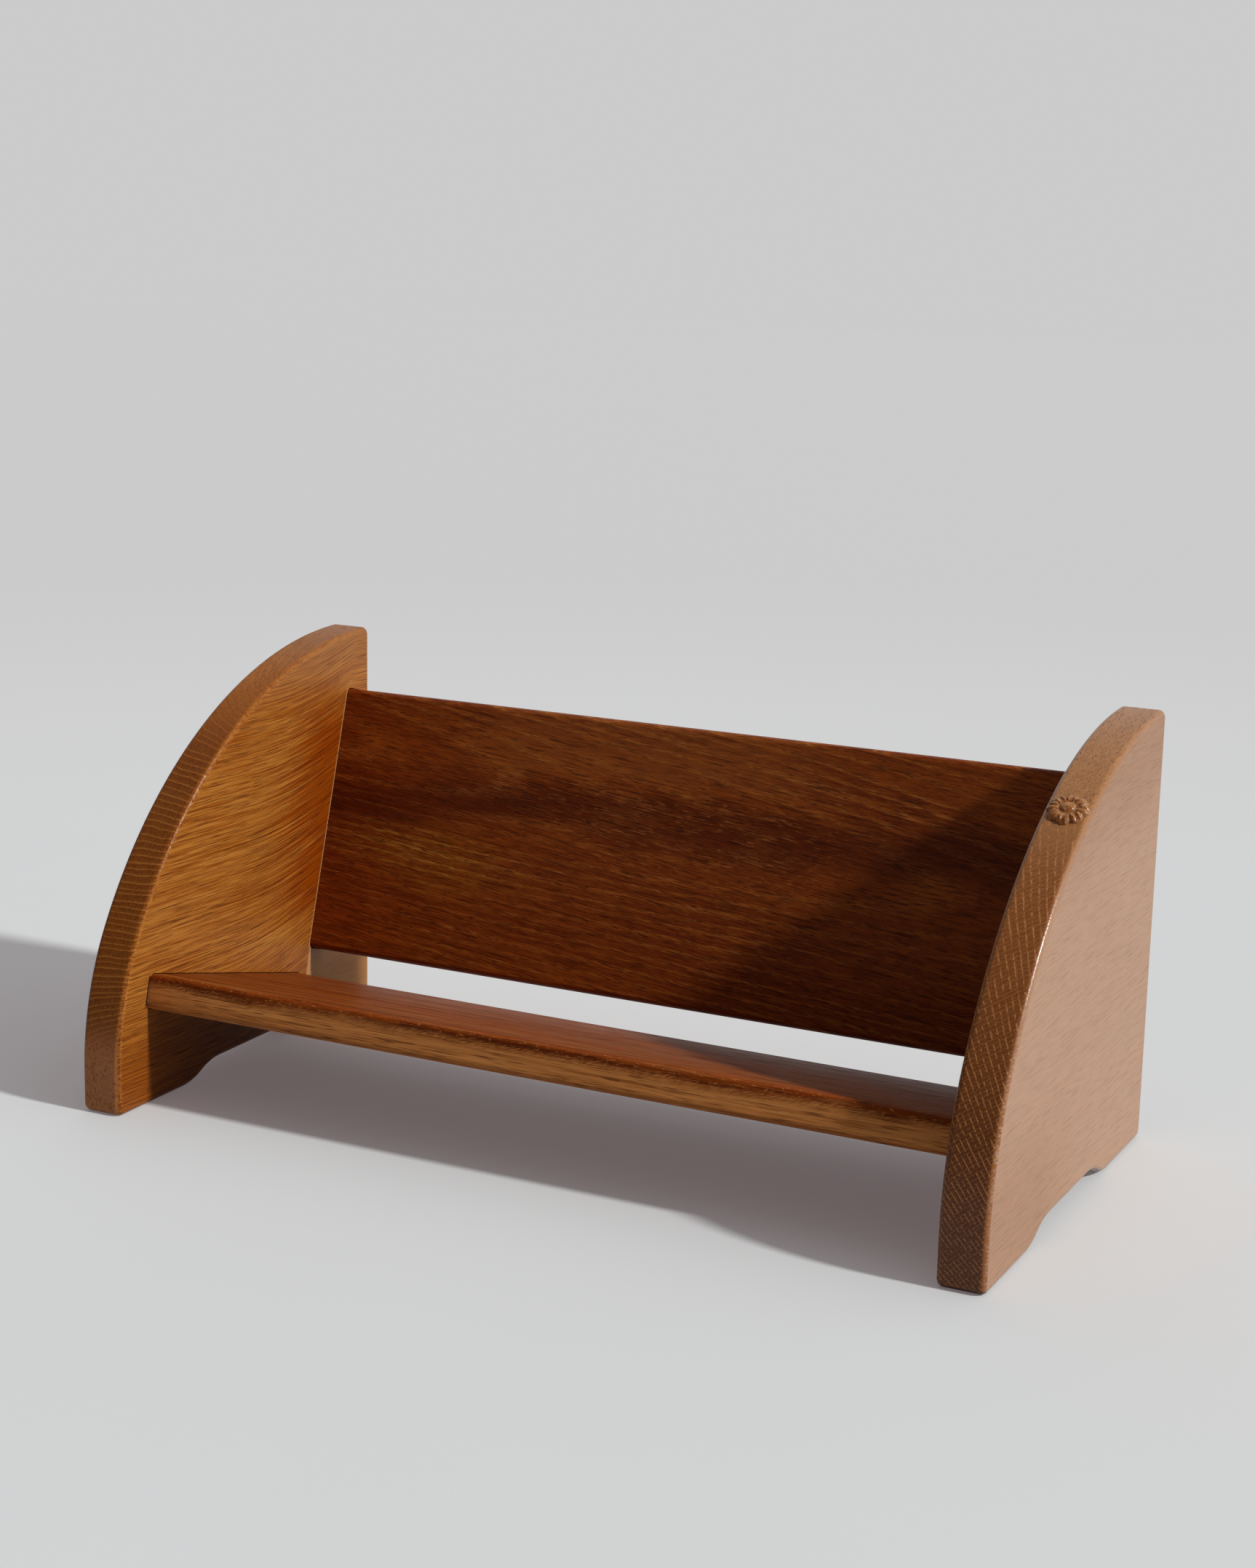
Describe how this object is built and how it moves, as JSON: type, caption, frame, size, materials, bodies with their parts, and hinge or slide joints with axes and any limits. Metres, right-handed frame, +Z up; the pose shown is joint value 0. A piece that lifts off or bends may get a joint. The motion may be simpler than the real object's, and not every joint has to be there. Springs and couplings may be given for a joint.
{
  "type": "book trough",
  "caption": "Free-standing oak book trough: rounded end panels carry a sloping shelf and a leaning back board, so that books stand tilted back with their spines up.",
  "frame": {"origin": "on the floor under the middle of the trough, at the bottom centre of its box", "axes": "+X along the trough to the right end, +Y to the back, +Z up"},
  "size_m": [0.46, 0.225, 0.21],
  "materials": {
    "left_end_oak": "waxed oak, orange brown, end grain on the curved edge",
    "right_end_oak": "waxed oak, light brown outside, end grain on the curved edge",
    "shelf_oak": "waxed oak, reddish brown with a paler front edge",
    "back_oak": "waxed oak, dark reddish brown",
    "dowel_oak": "plain pale wood"
  },
  "bodies": {
    "root": {"left_end": "left_end_oak", "right_end": "right_end_oak", "shelf": "shelf_oak", "back_board": "back_oak", "shelf_dowel_left_front": "dowel_oak", "shelf_dowel_left_middle": "dowel_oak", "shelf_dowel_left_rear": "dowel_oak", "shelf_dowel_right_front": "dowel_oak", "shelf_dowel_right_middle": "dowel_oak", "shelf_dowel_right_rear": "dowel_oak", "back_dowel_left_lower": "dowel_oak", "back_dowel_left_middle": "dowel_oak", "back_dowel_left_upper": "dowel_oak", "back_dowel_right_lower": "dowel_oak", "back_dowel_right_middle": "dowel_oak", "back_dowel_right_upper": "dowel_oak"}
  },
  "joints": []
}
